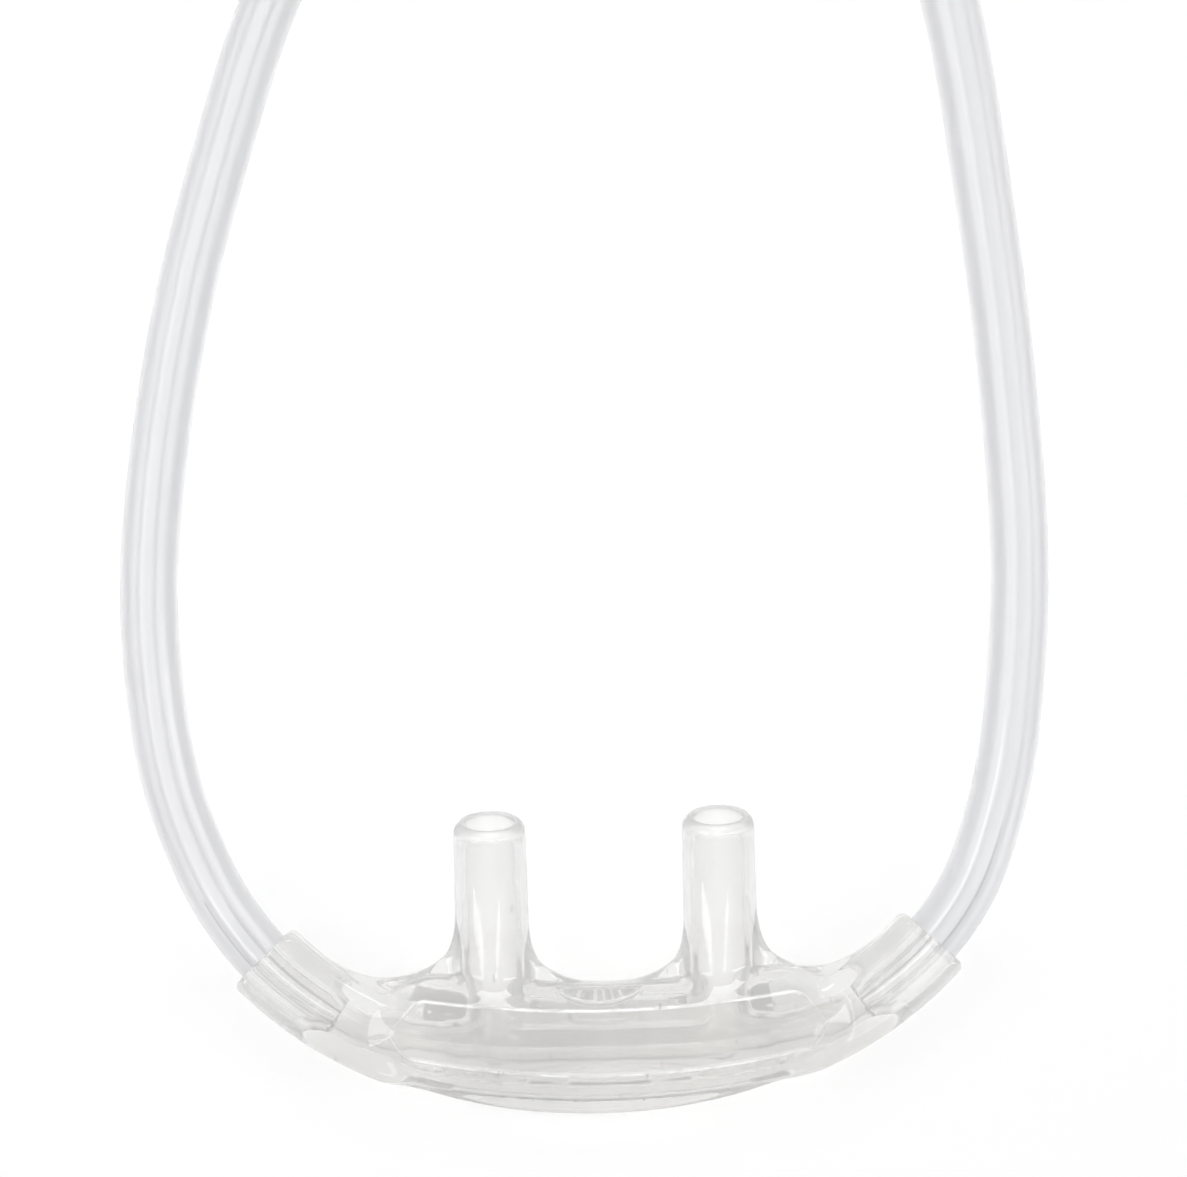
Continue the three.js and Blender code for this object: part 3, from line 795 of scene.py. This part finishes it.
def let_light_through(material, shader, passes):
    """Lamps shine through the clear vinyl, so that it throws only a faint shadow."""
    link = material.node_tree.links.new
    path = add(material, "ShaderNodeLightPath")
    clear = add(material, "ShaderNodeBsdfTransparent")
    clear.inputs["Color"].default_value = (passes, passes, passes, 1)
    mix = add(material, "ShaderNodeMixShader")
    link(path.outputs["Is Shadow Ray"], mix.inputs[0])
    link(shader.outputs[0], mix.inputs[1])
    link(clear.outputs[0], mix.inputs[2])
    link(mix.outputs[0], material.node_tree.nodes["Material Output"].inputs["Surface"])


def ramp(material, source, start, end, low, high):
    """A smooth step of a number, from low at start to high at end."""
    node = add(material, "ShaderNodeMapRange", interpolation_type="SMOOTHSTEP")
    for name, value in (("From Min", start), ("From Max", end), ("To Min", low), ("To Max", high)):
        node.inputs[name].default_value = value
    material.node_tree.links.new(source, node.inputs["Value"])
    return node.outputs["Result"]


def sums(material, operation, *terms):
    node = add(material, "ShaderNodeMath", operation=operation)
    for socket, term in zip(node.inputs, terms):
        if isinstance(term, (int, float)):
            socket.default_value = term
        else:
            material.node_tree.links.new(term, socket)
    return node.outputs[0]


def blend(material, share, first, second):
    """A mix of two colours, each of them a value or another node's output."""
    node = add(material, "ShaderNodeMix", data_type="RGBA")
    colours = [socket for socket in node.inputs if socket.type == "RGBA"]
    for socket, colour in zip(colours, (first, second)):
        if isinstance(colour, tuple):
            socket.default_value = (*colour, 1)
        else:
            material.node_tree.links.new(colour, socket)
    material.node_tree.links.new(share, node.inputs["Factor"])
    return [socket for socket in node.outputs if socket.type == "RGBA"][0]


def product(material, first, *others):
    for other in others:
        first = sums(material, "MULTIPLY", first, other)
    return first


def highest(material, first, *others):
    for other in others:
        first = sums(material, "MAXIMUM", first, other)
    return first


def attribute(material, name):
    return add(material, "ShaderNodeAttribute", attribute_name=name).outputs["Fac"]


def noise(material, scale, detail, stretch=None):
    """Noise that sits in the piece, drawn out along an axis whose stretch is below one."""
    place = add(material, "ShaderNodeTexCoord").outputs["Object"]
    if stretch:
        drawn = add(material, "ShaderNodeVectorMath", operation="MULTIPLY")
        drawn.inputs[1].default_value = stretch
        material.node_tree.links.new(place, drawn.inputs[0])
        place = drawn.outputs[0]
    node = add(material, "ShaderNodeTexNoise", Scale=scale, Detail=detail)
    material.node_tree.links.new(place, node.inputs["Vector"])
    return node.outputs["Fac"]


def roughen(material, shader, height, distance):
    bump = add(material, "ShaderNodeBump", Strength=0.06, Distance=distance)
    material.node_tree.links.new(height, bump.inputs["Height"])
    material.node_tree.links.new(bump.outputs["Normal"], shader.inputs["Normal"])


def moulded_vinyl():
    """Greyer where the wall is thick, with a painted highlight line round the facet's edge, fine bands and a
    few specks.
    """
    material, shader = principled("moulded_vinyl", MIDDLE_WALL, 0.05, THICK_CLARITY)
    link = material.node_tree.links.new
    split = add(material, "ShaderNodeSeparateXYZ")
    link(add(material, "ShaderNodeTexCoord").outputs["Object"], split.inputs[0])
    along, height = split.outputs["Y"], split.outputs["Z"]
    off_middle = sums(material, "ABSOLUTE", split.outputs["X"])
    offset = attribute(material, "facet_offset")
    prongs = ramp(material, along, -1.0 * MM, 3.0 * MM, 0, 1)
    tips = ramp(material, along, 7.4 * MM, 8.6 * MM, 0, 1)
    sleeves = ramp(material, off_middle, 16.5 * MM, 20.5 * MM, 0, 1)
    webs = product(
        material, ramp(material, along, -3.8 * MM, -2.5 * MM, 0, 1), ramp(material, offset, 0.1, 0.8, 0, 0.8))
    thin = highest(material, prongs, sleeves, webs)
    # painted highlight: a white, milky line along the facet's rounded edge, where the lamps' reflection shows
    painted_edge_highlight = product(
        material,
        ramp(material, sums(material, "ABSOLUTE", offset), 0.03, 0.1, 1, 0),
        ramp(material, height, 5.4 * MM, 5.7 * MM, 0, 1),
        ramp(material, noise(material, 380.0, 3.0), 0.38, 0.6, 0.2, 0.85),
        ramp(material, off_middle, 11.0 * MM, 13.5 * MM, 1, 0.4),
    )
    speck = ramp(material, noise(material, 2600.0, 1.0, (1.0, 0.3, 0.3)), 0.73, 0.78, 0, 0.5)
    bands = ramp(material, noise(material, 210.0, 2.0, (1.0, 0.12, 0.12)), 0.3, 0.7, 0, 1)
    wall = blend(material, bands, THICK_WALL_DARK, THICK_WALL_LIGHT)
    wall = blend(material, thin, wall, THIN_WALL)
    wall = blend(material, product(material, tips, 0.4), wall, BRIGHT_EDGE)
    # paints the highlight line round the facet's edge
    wall = blend(material, painted_edge_highlight, wall, BRIGHT_EDGE)
    link(blend(material, speck, wall, SPECK), shader.inputs["Base Color"])
    clarity = sums(material, "MULTIPLY_ADD", prongs, PRONG_CLARITY, THICK_CLARITY)
    clarity = sums(material, "MULTIPLY_ADD", sleeves, SLEEVE_CLARITY, clarity)
    # the painted highlight line and the prong tips let less light through
    painted_highlight_and_tip_milk = highest(material, product(material, painted_edge_highlight, 0.75), product(material, tips, 0.25))
    clarity = product(material, clarity, sums(material, "SUBTRACT", 1.0, painted_highlight_and_tip_milk))
    link(clarity, shader.inputs["Transmission Weight"])
    link(ramp(material, noise(material, 260.0, 3.0), 0.25, 0.75, 0.03, 0.09), shader.inputs["Roughness"])
    roughen(material, shader, noise(material, 420.0, 2.0), 0.08 * MM)
    let_light_through(material, shader, 0.92)
    return material


# Painted highlight and painted shade lines along a tube, in place of the light and dark lines that its bore
# and walls
# show: mm across from its middle, half width, mm along from its end where the line starts, where it starts to
# fade and where it is gone, and how much it shows
SOCKET_PAINTED_HIGHLIGHTS = [(-1.15, 0.12, 0, 6, 6.3, 0.6), (1.15, 0.12, 0, 6, 6.3, 0.6), (0.0, 0.05, 0, 6, 6.3, 0.8)]
SOCKET_PAINTED_SHADES = [(0.45, 0.03, 0, 6, 6.3, 0.5), (-0.3, 0.03, 0, 6, 6.3, 0.4), (-0.7, 0.03, 0, 6, 6.3, 0.5)]
LEFT_PAINTED_HIGHLIGHTS = [(-0.35, 0.03, 6, 11, 12, 0.7), (0.95, 0.14, 6, 20, 34, 0.4), (-0.1, 0.3, 9, 60, 110, 0.25)]
LEFT_PAINTED_SHADES = [(-0.85, 0.02, 6, 10.8, 11.4, 0.6), (0.35, 0.02, 6, 9, 11, 0.35)]
RIGHT_PAINTED_HIGHLIGHTS = [(-0.5, 0.06, 6, 17, 26, 0.75), (1.2, 0.12, 6, 14, 22, 0.45), (-0.4, 0.12, 15, 60, 110, 0.3)]
RIGHT_PAINTED_SHADES = [(0.6, 0.03, 6, 12, 17, 0.55)]
LINE_BLUR = 0.08


# Share of a painted highlight or painted shade line, on the top half of a tube only
def painted_line_share(material, lines):
    across, reached, above = (attribute(material, name) for name in ("across", "reached", "above"))
    shares = []
    for centre, half_width, start, fade, gone, strength in lines:
        off = sums(material, "ABSOLUTE", sums(material, "SUBTRACT", across, centre))
        shares.append(product(
            material,
            ramp(material, off, half_width, half_width + LINE_BLUR, strength, 0),
            ramp(material, reached, start, start + 0.2, 0, 1),
            ramp(material, reached, fade, gone, 1, 0),
        ))
    return product(material, highest(material, *shares), ramp(material, above, 0.0, 0.1, 0, 1))


def tube_vinyl(name, wet_reach, lines, shades):
    """Frosted, less so where the bonding solvent wetted it near its sleeve, and clear in its socket; with
    painted highlight and painted shade lines along its top.
    """
    material, shader = principled(name, TUBE_WALL, 0.35, 0.75)
    link = material.node_tree.links.new
    reached = attribute(material, "reached")
    seated = SOCKET_DEPTH - SEAT_GAP
    held = ramp(material, reached, seated - 0.2, seated, 1, 0)
    cloud = noise(material, 500.0, 4.0)
    ragged = sums(material, "MULTIPLY_ADD", cloud, 3.0, reached)
    wet_end = SOCKET_DEPTH + wet_reach
    frost = ramp(material, ragged, wet_end - 1, wet_end + 5, 0, 1)
    # painted highlight lines, also milkier, and painted shade lines, standing in for the light and dark lines
    # of the bore and walls
    painted_highlight = painted_line_share(material, SOCKET_PAINTED_HIGHLIGHTS + lines)
    painted_shade = painted_line_share(material, SOCKET_PAINTED_SHADES + shades)
    wall = blend(material, frost, TUBE_WET_WALL, TUBE_FROSTED_WALL)
    wall = blend(material, held, wall, TUBE_HELD_WALL)
    wall = blend(material, painted_highlight, wall, TUBE_PAINTED_HIGHLIGHT)
    link(blend(material, painted_shade, wall, TUBE_PAINTED_SHADE), shader.inputs["Base Color"])
    clarity = sums(material, "MULTIPLY_ADD", frost, FROST_CLARITY, TUBE_CLARITY)
    clarity = highest(material, clarity, held)
    clarity = product(material, clarity, sums(material, "MULTIPLY_ADD", painted_highlight, -0.6, 1.0))
    link(clarity, shader.inputs["Transmission Weight"])
    rough = sums(material, "MULTIPLY_ADD", frost, FROST_ROUGHNESS, TUBE_ROUGHNESS)
    rough = sums(material, "MULTIPLY_ADD", held, HELD_ROUGHNESS, rough)
    link(rough, shader.inputs["Roughness"])
    roughen(material, shader, cloud, 0.05 * MM)
    let_light_through(material, shader, 0.94)
    return material


def fitting_vinyl():
    material, shader = principled("fitting_vinyl", FITTING_WALL, 0.12, 0.82)
    link = material.node_tree.links.new
    rough = add(material, "ShaderNodeMapRange")
    rough.inputs["To Min"].default_value = 0.08
    rough.inputs["To Max"].default_value = 0.2
    link(noise(material, 350.0, 3.0), rough.inputs["Value"])
    link(rough.outputs["Result"], shader.inputs["Roughness"])
    let_light_through(material, shader, 0.94)
    return material


# Light
def softbox(name, place, size, radiance):
    """A rectangular light that faces the object; place and size in metres."""
    data = bpy.data.lights.new(name, "AREA")
    data.shape = "RECTANGLE"
    data.size, data.size_y = size
    data.energy = radiance * math.pi * size[0] * size[1]
    light = bpy.data.objects.new(name, data)
    light.location = place
    aim = -np.array(place)
    yaw = math.atan2(aim[1], aim[0]) - math.pi / 2
    pitch = math.atan2(math.hypot(aim[0], aim[1]), -aim[2])
    light.rotation_euler = (pitch, 0, yaw)
    bpy.context.scene.collection.objects.link(light)


def make_world():
    world = bpy.data.worlds.new("studio")
    world.use_nodes = True
    bpy.context.scene.world = world
    tree = world.node_tree
    background = tree.nodes["Background"]
    place = tree.nodes.new("ShaderNodeTexCoord")
    split = tree.nodes.new("ShaderNodeSeparateXYZ")
    sky = tree.nodes.new("ShaderNodeValToRGB")
    sky.color_ramp.interpolation = "EASE"
    low, high = sky.color_ramp.elements
    low.position, low.color = 0.0, SKY_LOW
    high.position, high.color = 0.7, SKY_HIGH
    tree.links.new(place.outputs["Generated"], split.inputs[0])
    tree.links.new(split.outputs["Z"], sky.inputs["Fac"])
    tree.links.new(sky.outputs["Color"], background.inputs["Color"])
    background.inputs["Strength"].default_value = SKY_STRENGTH


def make_floor():
    half = FLOOR_HALF
    corners = [(-half, -half, 0), (half, -half, 0), (half, half, 0), (-half, half, 0)]
    mesh = bpy.data.meshes.new("floor")
    mesh.from_pydata(corners, [], [(0, 1, 2, 3)])
    floor = bpy.data.objects.new("floor", mesh)
    bpy.context.scene.collection.objects.link(floor)
    material, shader = principled("floor_paper", FLOOR_COLOUR, 0.9, 0.0)
    shader.inputs["Specular IOR Level"].default_value = 0.1
    mesh.materials.append(material)


make_camera()

fitting_finish = fitting_vinyl()

connector = moulded(
    "y_connector_body", connector_field,
    (-INLET_RADIUS - TAIL_PITCH / 2, -CONNECTOR_LENGTH, -STEM_RADIUS),
    (INLET_RADIUS + TAIL_PITCH / 2, 0, STEM_RADIUS),
    (TAIL_X, CONNECTOR_MOUTH_Y, TAIL_HEIGHT),
)
connector.data.materials.append(fitting_finish)
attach(connector, "cannula")
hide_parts("y_connector")

slider = moulded(
    "slider_body", slider_field,
    (-SLIDER_HALF_WIDTH, 0, -SLIDER_HALF_HEIGHT), (SLIDER_HALF_WIDTH, SLIDER_LENGTH, SLIDER_HALF_HEIGHT),
    (TAIL_X, SLIDER_Y, TAIL_HEIGHT),
)
slider.data.materials.append(fitting_finish)
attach(slider, "slider")
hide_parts("slider")

facepiece = moulded("facepiece_moulding", facepiece_field, *FACEPIECE_BOX)
corners = np.empty(3 * len(facepiece.data.vertices))
facepiece.data.vertices.foreach_get("co", corners)
mark(facepiece, "facet_offset", facet_offset(corners[0::3] / MM, corners[1::3] / MM))
facepiece.data.materials.append(moulded_vinyl())
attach(facepiece, "cannula")
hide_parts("facepiece")

for side, word, wet_reach, first_rib, lines, shades in (
    (-1, "left", 5.2, 62.0, LEFT_PAINTED_HIGHLIGHTS, LEFT_PAINTED_SHADES), (1, "right", 8.0, 38.0, RIGHT_PAINTED_HIGHLIGHTS, RIGHT_PAINTED_SHADES),
):
    line = spline(tube_route(side))
    piece = tube(f"{word}_side_tube", line, first_rib)
    piece.data.materials.append(tube_vinyl(f"{word}_tube_vinyl", wet_reach, lines, shades))
    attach(piece, "cannula")
    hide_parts(f"{word}_tube", "tube_coil", f"{word}_tube_tail")

make_floor()
make_world()
for light in LIGHTS:
    softbox(*light)

scene = bpy.context.scene
scene.view_settings.view_transform = "Standard"
scene.cycles.max_bounces = BOUNCES
scene.cycles.transmission_bounces = BOUNCES
scene.cycles.transparent_max_bounces = BOUNCES
scene.cycles.use_denoising = True
